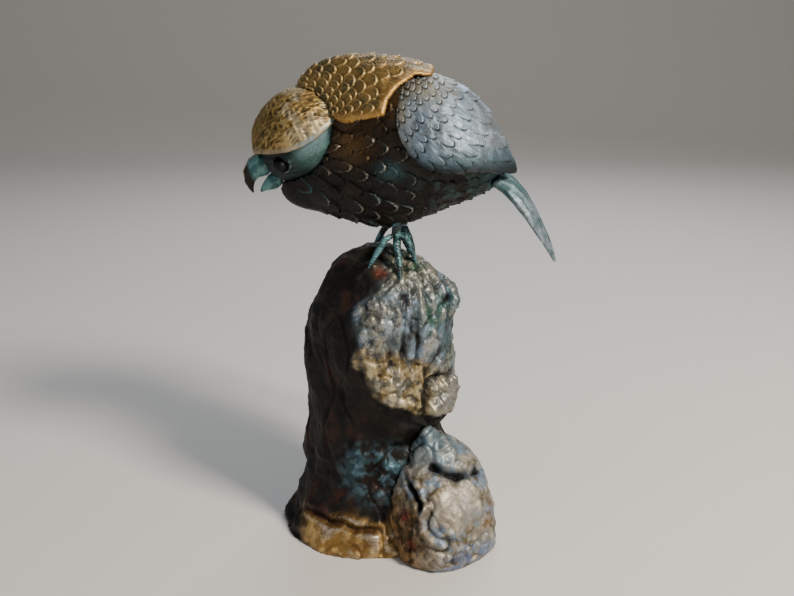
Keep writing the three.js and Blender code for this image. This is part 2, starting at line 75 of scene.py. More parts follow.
def build_floor():
    """A sheet of backdrop paper that lies flat under the figure and sweeps up behind it."""
    shape = bmesh.new()
    bmesh.ops.create_grid(shape, x_segments=1, y_segments=1, size=4, matrix=Matrix.Translation((0, -2.4, 0)))
    edge = [e for e in shape.edges if all(v.co.y > 1 for v in e.verts)]
    middle = (0, 1.6, 1.2)
    swept = bmesh.ops.spin(shape, geom=edge, cent=middle, axis=(1, 0, 0), angle=math.pi / 2, steps=24)
    last = [item for item in swept["geom_last"] if isinstance(item, bmesh.types.BMEdge)]
    risen = bmesh.ops.extrude_edge_only(shape, edges=last)["geom"]
    bmesh.ops.translate(shape, vec=(0, 0, 4), verts=[v for v in risen if isinstance(v, bmesh.types.BMVert)])
    mesh = bpy.data.meshes.new("floor")
    shape.to_mesh(mesh)
    shape.free()
    mesh.polygons.foreach_set("use_smooth", [True] * len(mesh.polygons))
    floor = bpy.data.objects.new("floor", mesh)
    bpy.context.scene.collection.objects.link(floor)
    paper = bpy.data.materials.new("backdrop_paper")
    paper.use_nodes = True
    shader = paper.node_tree.nodes["Principled BSDF"]
    shader.inputs["Base Color"].default_value = linear("d9d6d0")
    shader.inputs["Roughness"].default_value = 0.9
    mesh.materials.append(paper)


def add_lamp(name, place, size, power, colour):
    lamp = bpy.data.objects.new(name, bpy.data.lights.new(name, "AREA"))
    bpy.context.scene.collection.objects.link(lamp)
    lamp.data.size = size
    lamp.data.energy = power
    lamp.data.color = linear(colour)[:3]
    lamp.location = PERCH + Vector(place)
    lamp.rotation_euler = (-Vector(place)).to_track_quat("-Z", "Y").to_euler()


def build_lights():
    add_lamp("key", (0.8, -0.65, 0.8), 0.3, 27, "fff4e6")
    add_lamp("fill", (-1.2, -0.7, 0.3), 1.0, 2.5, "e8f0ff")
    add_lamp("rim", (0.2, 1.0, 0.9), 0.8, 9, "eef4ff")
    world = bpy.data.worlds.new("studio")
    world.use_nodes = True
    world.node_tree.nodes["Background"].inputs["Color"].default_value = linear("c9cdd2")
    world.node_tree.nodes["Background"].inputs["Strength"].default_value = 0.3
    bpy.context.scene.world = world


def linear(hexed):
    """A colour as the eye knows it, sRGB hex, turned to the linear values that shaders add up."""
    channels = [int(hexed[i : i + 2], 16) / 255 for i in (0, 2, 4)]
    return [c / 12.92 if c <= 0.04045 else ((c + 0.055) / 1.055) ** 2.4 for c in channels] + [1.0]


# ---- numbers over a whole surface ----
def smooth_step(low, high, x):
    """0 at low, 1 at high and smooth between them. low may be the greater."""
    t = np.clip((x - low) / (high - low), 0, 1)
    return t * t * (3 - 2 * t)


def bell(x, width):
    """1 at 0, and nearly nothing two widths away on either side."""
    return np.exp(-((x / width) ** 2))


def scatter(*numbers):
    """A fixed value from 0 to 1 for each set of whole numbers."""
    mixed = sum(np.asarray(n) * k for n, k in zip(numbers, (127.1, 311.7, 74.7, 53.3)))
    return np.modf(np.abs(np.sin(mixed) * 43758.5453))[0]


def lumps(points, size, seed=0):
    """Smooth noise from -1 to 1 whose lumps are about size mm across."""
    skewed = points @ SKEW / size + 37.7 + 5.3 * seed
    cell = np.floor(skewed)
    f = skewed - cell
    f = f * f * f * (f * (f * 6 - 15) + 10)
    total = 0
    for corner in range(8):
        pick = [corner & 1, corner >> 1 & 1, corner >> 2]
        weight = np.prod(np.where(pick, f, 1 - f), axis=1)
        total = total + weight * scatter(*(cell + pick).T, seed)
    return 2 * total - 1


def rubble(points, size, seed=0, octaves=4):
    """Lumps on lumps, each half the size of the last, from about -1 to 1."""
    return sum(lumps(points, size / 2**n, seed + n) / 2**n for n in range(octaves)) / 1.3


def creases(points, size, seed=0):
    """1 on thin wandering lines and 0 away from them."""
    return np.clip(1 - np.abs(lumps(points, size, seed)) * 5, 0, 1)


def patches(points, size, seed=0, cover=0.5):
    """Ragged patches: 1 inside them and 0 outside, on about the given share of the skin."""
    return smooth_step(-0.16, 0.22, rubble(points, size, seed) + 0.9 * (cover - 0.5))


def knob(points, place, radius):
    """A rounded knob at a place: 1 on top, 0 outside its radius."""
    far = np.linalg.norm(points - place, axis=1) / radius
    return np.sqrt(np.clip(1 - far * far, 0, 1))


def near(points, place, radius):
    """1 at a place, and smoothly down to 0 at its radius."""
    return smooth_step(radius, 0, np.linalg.norm(points - place, axis=1))


def from_line(points, line):
    """The distance from a line through the given places, in mm."""
    least = np.full(len(points), 1e9)
    for start, end in zip(np.array(line[:-1], float), np.array(line[1:], float)):
        way = end - start
        share = np.clip((points - start) @ way / (way @ way), 0, 1)
        least = np.minimum(least, np.linalg.norm(points - start - share[:, None] * way, axis=1))
    return least


# ---- fine meshes from the plain solids ----
def fine_mesh(name, sources, cell, rounds):
    """The sources' solids as one even skin with cells of the given size in mm, smoothed that many times."""
    joined = bmesh.new()
    for source in sources:
        joined.from_mesh(source)
    bmesh.ops.remove_doubles(joined, verts=joined.verts, dist=1e-6)
    mesh = bpy.data.meshes.new(name)
    joined.to_mesh(mesh)
    joined.free()
    piece = bpy.data.objects.new(name, mesh)
    bpy.context.scene.collection.objects.link(piece)
    remesh = piece.modifiers.new("skin", "REMESH")
    remesh.mode = "VOXEL"
    remesh.voxel_size = cell * MM
    soften = piece.modifiers.new("soften", "SMOOTH")
    soften.iterations = rounds
    soften.factor = 0.5
    shaped = piece.evaluated_get(bpy.context.evaluated_depsgraph_get())
    piece.data = bpy.data.meshes.new_from_object(shaped)
    piece.modifiers.clear()
    piece.data.name = name
    bpy.data.meshes.remove(mesh)
    return piece


def split_faces(piece, wanted):
    """Halves the cells of the faces whose middle and normal, from the perch in mm, are wanted."""
    shape = bmesh.new()
    shape.from_mesh(piece.data)
    middles = np.array([f.calc_center_median() for f in shape.faces])
    normals = np.array([f.normal for f in shape.faces])
    chosen = wanted((middles - np.array(PERCH)) / MM, normals)
    edges = {edge for face, pick in zip(shape.faces, chosen) if pick for edge in face.edges}
    bmesh.ops.subdivide_edges(shape, edges=list(edges), cuts=1, use_grid_fill=True)
    shape.to_mesh(piece.data)
    shape.free()


def surface(piece):
    """Its points from the perch in mm, and their normals."""
    count = len(piece.data.vertices)
    points, normals = np.empty(count * 3), np.empty(count * 3)
    piece.data.vertices.foreach_get("co", points)
    piece.data.vertices.foreach_get("normal", normals)
    return (points.reshape(-1, 3) - np.array(PERCH)) / MM, normals.reshape(-1, 3)


def move_points(piece, steps):
    """Moves each point of the skin by its own step, in mm."""
    points = np.empty(steps.size)
    piece.data.vertices.foreach_get("co", points)
    piece.data.vertices.foreach_set("co", points + steps.ravel() * MM)
    piece.data.update()


def push(piece, normals, height):
    """Moves the skin out along its normals by height in mm."""
    move_points(piece, normals * height[:, None])


def mark(piece, raised, bloom, colour):
    """Keeps for the patina how raised, how much in bloom and of what colour every point is."""
    for name, values in (("raised", raised), ("bloom", bloom)):
        attribute = piece.data.attributes.new(name, "FLOAT", "POINT")
        attribute.data.foreach_set("value", np.clip(values, 0, 1).astype(np.float32))
    attribute = piece.data.attributes.new("patina", "FLOAT_COLOR", "POINT")
    solid_colour = np.column_stack([colour, np.ones(len(colour))]).astype(np.float32)
    attribute.data.foreach_set("color", solid_colour.ravel())


def washes(count, ground, *layers):
    """A colour for each point: the ground, and over it each wash where its mask is."""
    colour = np.tile(linear(ground)[:3], (count, 1))
    for mask, hexed in layers:
        share = np.clip(mask, 0, 1)[:, None]
        colour = colour * (1 - share) + np.array(linear(hexed)[:3]) * share
    return colour


def finish_piece(piece, material, slot, *nodes):
    """Gives the skin its material and its place in the kept part, where it stands for these nodes."""
    piece.data.polygons.foreach_set("use_smooth", [True] * len(piece.data.polygons))
    piece.data.materials.clear()
    piece.data.materials.append(material)
    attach(piece, "root")
    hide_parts(*nodes)


# ---- feathers ----
def rows_of(start, end, pitch, widths):
    """Rows of feathers from start to end: each root's place, length, width, sideways shift and number.
    pitch and widths go evenly from their first value to their second, in mm. A feather is as long as two
    rows, so the row before it, which lies on top, hides half of it."""
    rows, at = [], start - pitch[0]
    while at < end:
        share = np.clip((at - start) / (end - start), 0, 1)
        step = pitch[0] + (pitch[1] - pitch[0]) * share
        width = widths[0] + (widths[1] - widths[0]) * share
        rows.append((at, 2 * step, width, width * (len(rows) % 2) / 2, len(rows)))
        at += step
    return rows


def lay_feathers(along, across, rows, blunt, barb):
    """Feathers like roof tiles: where several cover a point, the one rooted nearest the head lies on top.
    Gives the top feather's rise towards its free end, rim, shaft, barbs, the line that its neighbour's edge
    casts on it, which is sunk in and painted dark as painted shadow, and its own number. blunt is how far
    the corners of its end are cut back, and barb is how far apart its barbs lie, in mm."""
    rise, rim, shaft, barbs, line, own = np.zeros((6, len(along)))
    bare = np.ones(len(along), bool)
    for root, length, width, shift, row in rows:
        place = (across - shift) / width
        which = np.round(place)
        side = 2 * (place - which)
        number = scatter(which, row)
        reach = (1 - blunt * (1 - np.sqrt(np.clip(1 - side * side, 0, 1)))) * (0.9 + 0.2 * number)
        share = (along - root) / length
        beyond = (share - reach) * length
        over = bare & (share >= 0) & (beyond <= 0)
        to_side = (1 - np.abs(side)) * width / 2
        slant = share * length - 0.9 * np.abs(side) * width / 2
        rise = np.where(over, share, rise)
        edge = np.maximum(bell(beyond, 0.09 * width), 0.5 * bell(to_side, 0.6))
        rim = np.where(over, edge, rim)
        shaft = np.where(over, bell(side * width / 2, 0.45) * (share < reach * 0.85), shaft)
        barbs = np.where(over, 0.5 + 0.5 * np.sin(2 * math.pi * slant / barb), barbs)
        own = np.where(over, number, own)
        bare &= ~over
        # painted shadow: the strip just past a feather's free end, on the feather beneath, that its edge
        # shades
        shaded = bare & (beyond > 0) & (beyond < 2)
        line = np.where(shaded, np.maximum(line, bell(beyond, 0.7)), line)
    return np.array([rise, rim, shaft, barbs, line, own])


def feathers_on(along, across, rows, cell, blunt=0.45, barb=1.5):
    """The same, averaged over a few places within a cell of the skin, so that no cell tears an edge."""
    nearby = [(-0.3, -0.3), (0.3, -0.3), (-0.3, 0.3), (0.3, 0.3), (0, 0)]
    laid = [lay_feathers(along + a * cell, across + b * cell, rows, blunt, barb) for a, b in nearby]
    return sum(laid) / len(laid)


# ---- patinas ----
def add(tree, kind, settings=(), links=()):
    """Adds a node. settings are its attributes or inputs, links are (input, socket that feeds it)."""
    node = tree.nodes.new(kind)
    for name, value in dict(settings).items():
        if isinstance(name, str) and hasattr(node, name):
            setattr(node, name, value)
        else:
            node.inputs[name].default_value = value
    for name, socket in links:
        tree.links.new(socket, node.inputs[name])
    return node


def cast_bronze(name, hollow, worn, shine=(0.36, 0.66), grain=0.5, metal=0.8, wax=0.15):
    """Cast bronze, its patina brushed on hot and waxed: the point's own patina, clouded, darker where the
    liquid stayed in the hollows, rubbed to the metal on the high places, and dull where it has bloomed."""
    material = bpy.data.materials.new(name)
    material.use_nodes = True
    tree = material.node_tree
    shader = tree.nodes["Principled BSDF"]
    place = add(tree, "ShaderNodeTexCoord").outputs["Object"]

    def noise(size, detail, rough):
        settings = {"Scale": 1 / (size * MM), "Detail": detail, "Roughness": rough}
        return add(tree, "ShaderNodeTexNoise", settings, [("Vector", place)]).outputs["Fac"]

    def span(socket, low, high, out_low=0.0, out_high=1.0):
        settings = {"From Min": low, "From Max": high, "To Min": out_low, "To Max": out_high}
        return add(tree, "ShaderNodeMapRange", settings, [("Value", socket)]).outputs["Result"]

    def sum_of(first, other, weight=1.0):
        settings = {"operation": "MULTIPLY_ADD", 1: weight}
        return add(tree, "ShaderNodeMath", settings, [(0, other), (2, first)]).outputs[0]

    def mix(amount, first, other, blend="MIX"):
        node = add(tree, "ShaderNodeMix", {"data_type": "RGBA", "blend_type": blend}, [("Factor", amount)])
        for socket, value in ((node.inputs[6], first), (node.inputs[7], other)):
            if isinstance(value, str):
                socket.default_value = linear(value)
            else:
                tree.links.new(value, socket)
        return node.outputs[2]

    clouds = span(noise(7, 4, 0.6), 0.25, 0.75, -0.5, 0.5)
    specks = span(noise(1.4, 4, 0.7), 0.25, 0.75, -0.5, 0.5)
    raised = add(tree, "ShaderNodeAttribute", {"attribute_name": "raised"}).outputs["Fac"]
    bloom = add(tree, "ShaderNodeAttribute", {"attribute_name": "bloom"}).outputs["Fac"]
    patina = add(tree, "ShaderNodeAttribute", {"attribute_name": "patina"}).outputs["Color"]
    broken = sum_of(sum_of(raised, specks, 0.3), clouds, 0.15)
    colour = mix(span(clouds, -0.35, 0.5, 0.0, 0.4), patina, "000000")
    colour = mix(span(broken, 0.02, 0.38, 0.9, 0.0), colour, hollow)
    colour = mix(span(broken, 0.58, 1.05, 0.0, 0.8), colour, worn)
    tree.links.new(colour, shader.inputs["Base Color"])
    dull = sum_of(span(broken, 0.15, 0.9, shine[1], shine[0]), clouds, 0.12)
    tree.links.new(sum_of(dull, bloom, 0.25), shader.inputs["Roughness"])
    tree.links.new(span(bloom, 0.0, 1.0, metal, 0.2), shader.inputs["Metallic"])
    shader.inputs["Coat Weight"].default_value = wax
    shader.inputs["Coat Roughness"].default_value = 0.3
    height = noise(grain, 3, 0.6)
    bump = add(tree, "ShaderNodeBump", {"Strength": 0.35, "Distance": 0.25 * MM}, [("Height", height)])
    tree.links.new(bump.outputs["Normal"], shader.inputs["Normal"])
    return material


# Warm golden brown, dark in the hollows and rubbed to pale gold on rims and strokes, with a soft gloss.
gold_patina = cast_bronze("bronze_rubbed_golden_brown", "2a1f0d", "ecd59c", (0.4, 0.68))
# Cloudy blue-grey like old pewter, with painted shadow lines under the feathers' edges and a pale, silvery
# shine.
pewter_patina = cast_bronze("bronze_blue_grey_patina", "12181b", "ccd8df", (0.42, 0.68), metal=0.7)
# Nearly black brown that swallows light, with thin bright rims where hands and cloth have rubbed it.
dark_patina = cast_bronze("bronze_near_black_patina", "050505", "a39d90", (0.34, 0.6))
# Matt blue-green, nearly black in the hollows and chalky pale on the high places.
green_patina = cast_bronze("bronze_blue_green_patina", "0b1214", "a9c4bf", metal=0.55)
# Rough, mottled skin: black in the clefts, cream, gold and pale blue on the high places, with sharp glints.
rock_patina = cast_bronze("bronze_rock_patina", "0c0a08", "e2ddcd", (0.34, 0.75), 0.9, metal=0.65, wax=0.1)


def turned_brass(name, bright, tarnished):
    """Turned brass: fine rings left by the lathe tool, and clouds of brown tarnish over the bright metal."""
    material = bpy.data.materials.new(name)
    material.use_nodes = True
    tree = material.node_tree
    shader = tree.nodes["Principled BSDF"]
    place = add(tree, "ShaderNodeTexCoord").outputs["Object"]
    tarnish = add(tree, "ShaderNodeTexNoise", {"Scale": 1 / (3 * MM), "Detail": 3}, [("Vector", place)])
    tones = add(tree, "ShaderNodeMix", {"data_type": "RGBA"}, [("Factor", tarnish.outputs["Fac"])])
    tones.inputs[6].default_value = linear(bright)
    tones.inputs[7].default_value = linear(tarnished)
    tree.links.new(tones.outputs[2], shader.inputs["Base Color"])
    shader.inputs["Metallic"].default_value = 1.0
    bands = {"bands_direction": "Z", "Scale": 1 / (2 * MM)}
    rings = add(tree, "ShaderNodeTexWave", bands, [("Vector", place)])
    between = {"To Min": 0.22, "To Max": 0.4}
    rough = add(tree, "ShaderNodeMapRange", between, [("Value", rings.outputs["Fac"])])
    tree.links.new(rough.outputs["Result"], shader.inputs["Roughness"])
    return material


# Bright yellow metal with fine rings and a few brown clouds.
pin_brass = turned_brass("brass_turned", "d2ab5c", "7a5a2a")
# The same metal browned almost to black as painted shade, so that it is lost in the shade under the feet.
shade_dark_stud_brass = turned_brass("brass_turned_painted_shade_dark", "4a3a22", "1f170d")


# ---- the bird's castings ----
def round_body(points):
    """The angle round the body's middle line, 0 at the back."""
    return np.arctan2(points[:, 1], points[:, 2] - BODY_AXIS)


def in_head(points):
    """Places in the head's own frame: forward is -x along the brow, up is z."""
    local = points - HEAD
    cosine, sine = math.cos(HEAD_TILT), math.sin(HEAD_TILT)
    forward = local[:, 0] * cosine + local[:, 2] * sine
    upward = local[:, 2] * cosine - local[:, 0] * sine
    return np.column_stack([forward, local[:, 1], upward])


def mirrored(points):
    """The same places with both sides of the bird laid on its right side."""
    return points * [1, 0, 1] + np.abs(points) * [0, 1, 0]


def brow_height(along):
    """How high the brow line lies in the head's frame."""
    return 2 - 7.5 * np.sin(math.pi * np.clip((along + 26) / 60, 0, 1))


def build_body():
    piece = fine_mesh("body_feathered", [cad_nodes["body_shell"].data], 1.46, 2)

    def outside(points, normals):
        out = points[:, 1] * normals[:, 1] + (points[:, 2] - BODY_AXIS + 8) * normals[:, 2]
        return out + (points[:, 0] + 5) * normals[:, 0] > 0

    split_faces(piece, outside)
    points, normals = surface(piece)
    x, y, z = points.T
    turn = round_body(points)
    rows = rows_of(-74, 70, (12, 7), (14, 9.5))
    warp = 1.5 * lumps(points, 16, 2)
    along = x + 5 * np.abs(turn) + warp
    across = turn * 42 + warp  # round the body, in mm
    rise, rim, shaft, barbs, line, own = feathers_on(along, across, rows, 0.6, 0.7, 1.9)
    rump = smooth_step(0, 35, x)
    throat = smooth_step(44, 36, z) * smooth_step(-36, -50, x)
    chest = smooth_step(74, 62, z) * (1 - rump) * (1 - throat)
    combed = (own > 0.3) * (0.6 + 0.4 * chest)
    height = (2.2 - 1.2 * rump - 1.7 * throat) * rise + 0.3 * shaft * chest - 1.0
    height = height + (0.8 * rim + 0.7 * (barbs - 0.5) * combed - 0.8 * line) * (1 - throat)
    height = height + 0.7 * rubble(points, 6, 3) * rump + 0.35 * rubble(points, 20, 3)
    push(piece, normals, height * outside(points, normals))
    one_side = mirrored(points)
    recess = near(one_side, np.array([-12, 31, 72]), 21)  # the hollow between neck and wing
    move_points(piece, np.column_stack([0 * x, -np.sign(y) * 4.5 * recess, 0 * x]))
    hatched = near(one_side * [1, 0.4, 1.6], np.array([-3, 14, 79]), 15)  # combed places under the wing
    edges = rim * smooth_step(0.35, 0.6, own)
    # less raised on the line under each feather's edge, so that it darkens as painted shadow
    raised = 0.3 + 0.7 * edges * chest + 0.16 * (barbs - 0.5) * combed + 0.1 * rise - 0.3 * line
    raised = raised - 0.2 * recess + 0.1 * throat + 0.2 * hatched * barbs
    raised = raised + 0.15 * rubble(points, 5, 8) * rump
    colour = washes(
        len(x), "1b1613",
        (patches(points, 18, 3, 0.35), "2a221a"),
        (smooth_step(70, 82, z) * smooth_step(10, -12, x), "5a4220"),
        (0.8 * near(one_side * [1, 0.3, 1], np.array([-26, 9, 64]), 20), "6b4d26"),
        (0.7 * recess, "57401f"),
        (0.75 * hatched * smooth_step(0.2, 0.7, barbs), "3f6f75"),
        (0.5 * edges * patches(points, 9, 5, 0.3), "4a7f82"),
        (0.6 * rump * patches(points, 6, 7, 0.35), "35524f"),
        (smooth_step(48, 62, x), "47696b"),
        (0.5 * near(one_side, np.array([-20, 10, 14]), 16) * patches(points, 5, 9, 0.4), "3f6a6b"),
    )
    mark(piece, raised, 0.3 * patches(points, 12, 6, 0.3), colour)
    finish_piece(piece, dark_patina, "bronze_dark", "body_shell")


def build_mantle():
    piece = fine_mesh("mantle_feathered", [cad_nodes["mantle"].data], 0.5, 3)
    points, normals = surface(piece)
    x, y, z = points.T
    warp = 1.3 * lumps(points, 12, 11)
    along = np.linalg.norm(points - HEAD, axis=1) - 28 + warp  # away from the skull, in mm
    across = round_body(points) * 45 + warp  # round the back, in mm
    rows = rows_of(-2, 82, (3.2, 9.5), (5.4, 12.5))
    rise, rim, shaft, barbs, line, _ = feathers_on(along, across, rows, 0.5)
    neck_edge = [(-34, 0, 78), (-28, 0, 77.5), (-18, 0, 79), (-8, 0, 81.5)]
    wing_edge = [(-6, 0, 89), (0, 0, 96), (10, 0, 102), (19, 0, 101), (22.5, 0, 109)]
    lip = bell(from_line(points * [1, 0, 1], neck_edge + wing_edge) - 1, 2.4)
    spike = near(mirrored(points), np.array([-29, 29, 77]), 9)
    plumes = 1.5 * rise + 0.7 * rim + 0.3 * shaft + 0.3 * (barbs - 0.5) - 0.5 * line - 0.9
    height = plumes * (1 - lip) + 1.5 * lip + 1.6 * spike + 0.35 * rubble(points, 6, 2)
    outside = (y * normals[:, 1] + (z - BODY_AXIS) * normals[:, 2]) > 0
    push(piece, normals, height * outside)
    # less raised on the line under each feather's edge, so that it darkens as painted shadow
    raised = (0.33 + 0.5 * rim + 0.15 * shaft + 0.15 * rise - 0.3 * line) * (1 - lip) + 0.62 * lip
    colour = washes(
        len(x), "8f7440",
        (patches(points, 9, 4, 0.4), "6a5d38"),
        (0.8 * smooth_step(0, 16, x) * patches(points, 9, 5, 0.6), "8b8a88"),
        (0.6 * smooth_step(-45, -60, x), "a88a52"),
        (0.9 * lip, "b98a42"),
        (0.6 * rim, "d0b074"),
    )
    mark(piece, raised, 0 * x, colour)
    finish_piece(piece, gold_patina, "bronze_gold", "mantle")


def build_crown():
    piece = fine_mesh("crown_stroked", [cad_nodes["crown"].data], 0.5, 6)
    points, normals = surface(piece)
    local = in_head(points)
    turn = np.arctan2(local[:, 1], local[:, 2] + 8)
    sweep = np.column_stack([local[:, 0], turn * 28, 0 * turn])  # the crown unrolled flat, in mm
    sweep[:, 1] += 1.3 * lumps(points, 6, 8)
    strokes = 1 - np.abs(lumps(sweep / [3.0, 1.3, 1] @ SKEW.T, 1.0, 4)) * 2.2
    pits = lumps(sweep / [1.7, 0.9, 1] @ SKEW.T, 1.0, 9)
    bevel = smooth_step(3.6, 1.8, local[:, 2] - brow_height(local[:, 0]))
    relief = (0.4 * strokes + 0.25 * pits) * (1 - bevel)
    push(piece, normals, relief + 0.5 * bevel + 0.2 * rubble(points, 10, 1) - 0.1)
    # the rim is raised a little too, which pales it further as part of its painted highlight
    raised = 0.36 + 0.6 * relief + 0.15 * bevel
    rear = smooth_step(-10, 12, local[:, 0])
    colour = washes(
        len(turn), "987b47",
        (patches(points, 8, 2, 0.4), "74602f"),
        (0.8 * smooth_step(-10, 8, local[:, 0]) * patches(points, 14, 3, 0.9), "c8bc9c"),
        (0.5 * smooth_step(0.2, 0.8, strokes), "c4a667"),
        # painted highlight: the pale rim along the crown's lower edge, brightest and with blue patches at the
        # rear, stands for light on the rim
        (bevel * (0.35 + 0.5 * rear), "b3ad98"),
        (0.7 * bevel * rear * patches(points, 6, 12, 0.6), "8fa9b2"),
    )
    mark(piece, raised, 0 * turn, colour)
    finish_piece(piece, gold_patina, "bronze_gold", "crown")


def build_face():
    piece = fine_mesh("face_modelled", [cad_nodes["face"].data], 0.6, 3)
    points, normals = surface(piece)
    local = in_head(points)
    x, y, z = local.T
    under_brow = smooth_step(-7, -1.5, z - brow_height(x)) * smooth_step(2, -8, x)
    socket = np.linalg.norm((local - [-13, 0, -10]) * [1, 0, 1], axis=1)
    lid = bell(socket - 5.6, 0.9) * (np.abs(y) > 8) * smooth_step(-6, -10, z)
    lore = near(local * [1, 0.3, 1], np.array([-17, 0, -10]), 14)
    fan = np.sin(1.7 * (z + 10) + 0.6 * x) * smooth_step(-2, -10, x) * smooth_step(-26, -18, x)
    height = -1.3 * under_brow - 1.0 * lore + 0.8 * lid + 0.15 * fan + 0.12 * rubble(points, 6, 4)
    push(piece, normals, height)
    cheek = smooth_step(-8, 4, x)
    raised = 0.4 + 0.2 * cheek - 0.35 * under_brow - 0.25 * lore + 0.3 * lid + 0.1 * fan
    colour = washes(
        len(x), "263c3c",
        (0.8 * cheek, "3f6b68"),
        (patches(points, 10, 3, 0.35) * 0.5 * cheek, "588379"),
        (0.5 * smooth_step(-9, -2, z - brow_height(x)) * cheek, "76949a"),
        (0.9 * smooth_step(0, 0.6, lore), "141a1b"),
        (0.6 * smooth_step(-13, -22, z), "1b2524"),
    )
    mark(piece, raised, 0.5 * cheek + 0.2 * patches(points, 8, 5), colour)
    finish_piece(piece, green_patina, "bronze_verdigris", "face")


def build_beak(node):
    piece = fine_mesh(node + "_cast", [cad_nodes[node].data], 0.4, 2)
    points, normals = surface(piece)
    local = in_head(points)
    x, y, z = local.T
    push(piece, normals, 0.1 * rubble(points, 3, 2) - 0.25 * bell(y - np.sign(y) * 3.4, 0.5) * (z > -12))
    ridge = smooth_step(3.2, 1.4, np.abs(y)) * smooth_step(-11, -6, z)
    hook = smooth_step(-33, -37, x)
    colour = washes(
        len(x), "3f6f70",
        (patches(points, 4, 3, 0.4), "6b9a98"),
        (hook, "2c1d14"),
        (0.8 * ridge, "b5914f"),
    )
    mark(piece, 0.5 - 0.25 * hook + 0.2 * ridge, 0.3 * (1 - hook), colour)
    finish_piece(piece, green_patina, "bronze_verdigris", node)


def build_eye(side):
    piece = fine_mesh(side + "_eye_cast", [cad_nodes[side + "_eye"].data], 0.3, 3)
    flat = np.zeros(len(piece.data.vertices))
    mark(piece, flat + 0.35, flat, washes(len(flat), "151a1b"))
    finish_piece(piece, dark_patina, "bronze_dark", side + "_eye")


def build_wing(side):
    piece = fine_mesh(side + "_wing_feathered", [cad_nodes[side + "_wing"].data], 0.5, 4)
    points, normals = surface(piece)
    x, _, z = points.T
    out = 1 if side == "right" else -1
    warp = 0.9 * lumps(points, 9, 12)
    spoke = points[:, [0, 2]] - [98.0, 160.0]  # the rows of feathers fan round this place above the tail
    along = np.arctan2(-spoke[:, 1], -spoke[:, 0]) * 112 + warp
    across = np.linalg.norm(spoke, axis=1) + warp
    low, high = along.min(), along.max()
    rows = rows_of(low, high, (2.6, 27), (4.0, 9.5))
    rise, rim, shaft, barbs, line, _ = feathers_on(along, across, rows, 0.5, 0.5)
    size = smooth_step(low, high, along)
    height = (0.6 + 1.8 * size) * rise + (0.3 + 0.3 * size) * rim + 0.3 * (shaft + barbs - 0.5) * size
    height = height - (0.5 + 0.6 * size) * line - 0.6
    shown = smooth_step(-0.2, 0.2, normals[:, 1] * out)
    push(piece, normals, height * shown + 0.25 * rubble(points, 6, 2))
    # much less raised on the line under each feather's edge, so that it darkens as painted shadow
    raised = 0.46 + 0.3 * rim + 0.2 * rise * (1 - size) + 0.1 * shaft - 0.9 * line
    raised = raised + 0.1 * (barbs - 0.5) * size
    under = smooth_step(9, 1, z - np.interp(x, [-6, 5, 15, 60], [62, 56, 50, 47]))
    warm = np.maximum(smooth_step(80, 98, z) * smooth_step(40, 20, x), smooth_step(14, -3, x))
    colour = washes(
        len(x), "6c7a85",
        (patches(points, 12, 4, 0.5), "8397a8"),
        (0.5 * smooth_step(30, 55, x), "8b9092"),
        (0.75 * warm, "9f9479"),
        (0.6 * warm * patches(points, 6, 15, 0.4), "b3a88a"),
        (0.5 * patches(points, 5, 14, 0.25), "b4c7d6"),
        (0.85 * smooth_step(67, 54, z), "48626e"),
        (0.85 * under, "1d2325"),
        # painted shadow: dark lines under the feathers' edges
        (0.8 * line, "1c252a"),
    )
    mark(piece, raised - 0.2 * under, 0.12 * patches(points, 9, 8, 0.4), colour)
    finish_piece(piece, pewter_patina, "bronze_pewter", side + "_wing")


def build_tail():
    piece = fine_mesh("tail_grooved", [cad_nodes["tail"].data], 0.45, 2)
    points, normals = surface(piece)
    x, y, z = points.T
    groove = np.abs(np.sin(y * math.pi / 4.2 + 0.4 * lumps(points, 12, 3)))
    push(piece, normals, 0.5 * groove - 0.3 + 0.12 * rubble(points, 5, 2))
    colour = washes(
        len(x), "5d7479",
        (patches(points, 8, 3, 0.5), "8596a0"),
        (smooth_step(20, 36, z), "4c6c6f"),
    )
    mark(piece, 0.28 + 0.4 * groove, 0.2 * patches(points, 7, 4), colour)
    finish_piece(piece, pewter_patina, "bronze_pewter", "tail")


def build_leg(side):
    piece = fine_mesh(side + "_leg_scaled", [cad_nodes[side + "_leg"].data], 0.35, 2)
    points, normals = surface(piece)
    x, _, z = points.T
    scutes = 0.5 + 0.5 * np.sin(2 * math.pi * (z + 0.4 * x) / 1.9)  # a ring of scales every 1.9 mm
    push(piece, normals, 0.16 * scutes - 0.1 + 0.25 * rubble(points, 4, 5))
    colour = washes(
        len(x), "305659",
        (patches(points, 5, 3, 0.5), "57868d"),
        (patches(points, 4, 7, 0.35), "1c2a29"),
    )
    mark(piece, 0.4 + 0.25 * scutes, 0.35 * patches(points, 6, 2), colour)
    finish_piece(piece, green_patina, "bronze_verdigris", side + "_leg")


# ---- the rock ----
def crag(points, size, seed, octaves=5):
    """Broken rock: facets that meet in ridges, on facets of half the size, from about -1 to 1."""
    folds = [(1 - 2.4 * np.abs(lumps(points, size / 2**n, seed + n))) / 1.8**n for n in range(octaves)]
    return sum(folds) / 2


def knobs_on(points, knobs):
    """Rounded knobs with a groove round each. Each is its place, radius and height."""
    relief = np.zeros(len(points))
    for *place, radius, tall in knobs:
        far = np.linalg.norm(points - np.array(place), axis=1)
        groove = 0.35 * bell(far - radius, 0.22 * radius)
        relief += tall * (knob(points, np.array(place), radius) - groove)
    return relief


